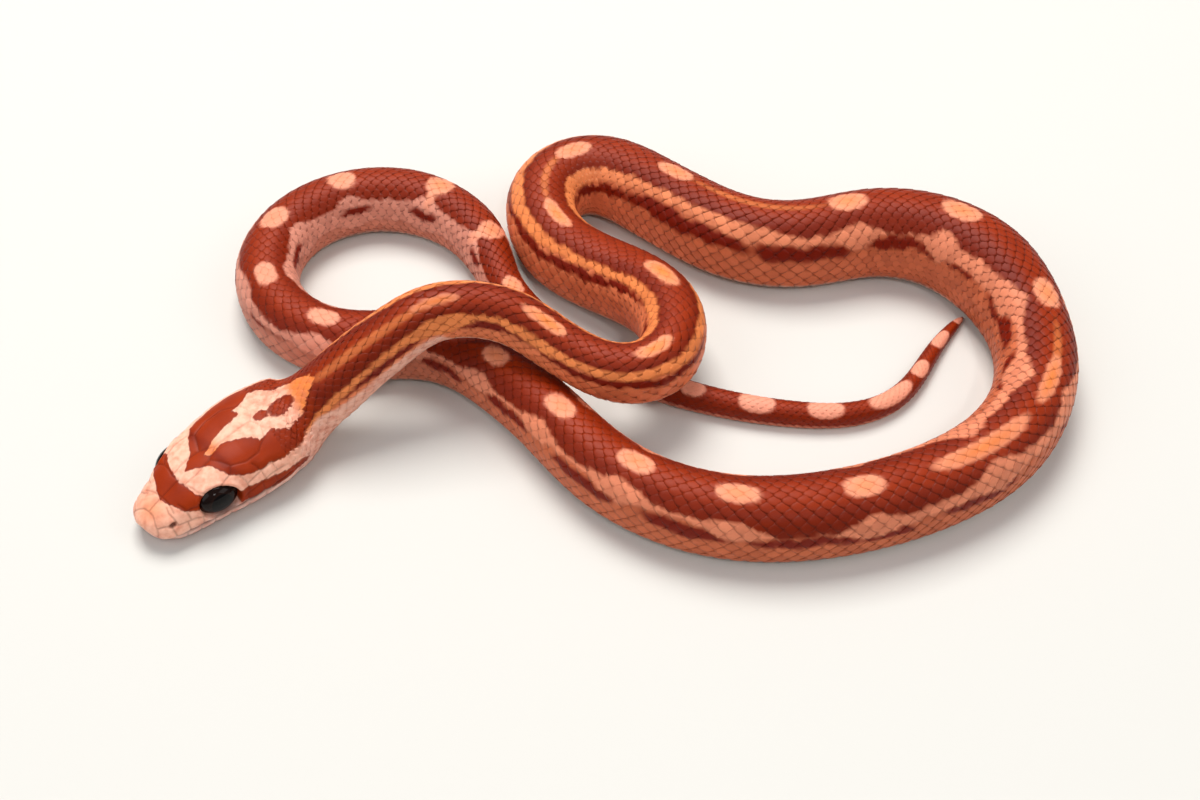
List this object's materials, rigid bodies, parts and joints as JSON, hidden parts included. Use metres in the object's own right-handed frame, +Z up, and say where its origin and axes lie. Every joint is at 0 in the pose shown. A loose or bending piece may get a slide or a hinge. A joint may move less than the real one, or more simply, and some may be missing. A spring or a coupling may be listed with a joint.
{
  "type": "young corn snake, life-size model",
  "caption": "Young corn snake lying on its belly in open S bends and a loop, neck over its own hind body, head forward, thin tail curled up beside it.",
  "frame": {"origin": "middle of the footprint, at the level that the belly rests on", "axes": "+Z up, the head lies towards -X and -Y, the right arc of the body towards +X"},
  "size_m": [0.0861, 0.053, 0.013],
  "materials": {
    "head_skin": "satin smooth plates, pale pink with rust brown marks",
    "neck_skin": "satin scales, brick brown with orange stripes",
    "body_skin": "satin scales, brick red with pale orange spots on the back and pink sides",
    "tail_skin": "satin scales, brick red saddles between pale pink patches",
    "eye": "glossy, very dark brown with a round black pupil"
  },
  "bodies": {
    "root": {"body_01": "body_skin", "body_02": "body_skin", "body_03": "body_skin", "body_04": "body_skin", "body_05": "body_skin", "body_06": "body_skin", "body_07": "body_skin", "body_08": "body_skin", "body_09": "body_skin", "body_10": "body_skin", "body_11": "body_skin", "body_12": "body_skin", "body_13": "body_skin", "body_14": "body_skin", "body_15": "body_skin", "body_16": "body_skin", "body_17": "body_skin", "body_18": "body_skin", "body_19": "body_skin", "body_20": "body_skin", "body_21": "body_skin", "body_22": "body_skin", "body_23": "body_skin", "body_24": "body_skin", "body_25": "body_skin", "eye_left": "eye", "eye_right": "eye", "head": "head_skin", "neck_01": "neck_skin", "neck_02": "neck_skin", "neck_03": "neck_skin", "tail_01": "tail_skin", "tail_02": "tail_skin", "tail_03": "tail_skin", "tail_04": "tail_skin", "tail_05": "tail_skin"}
  },
  "joints": []
}
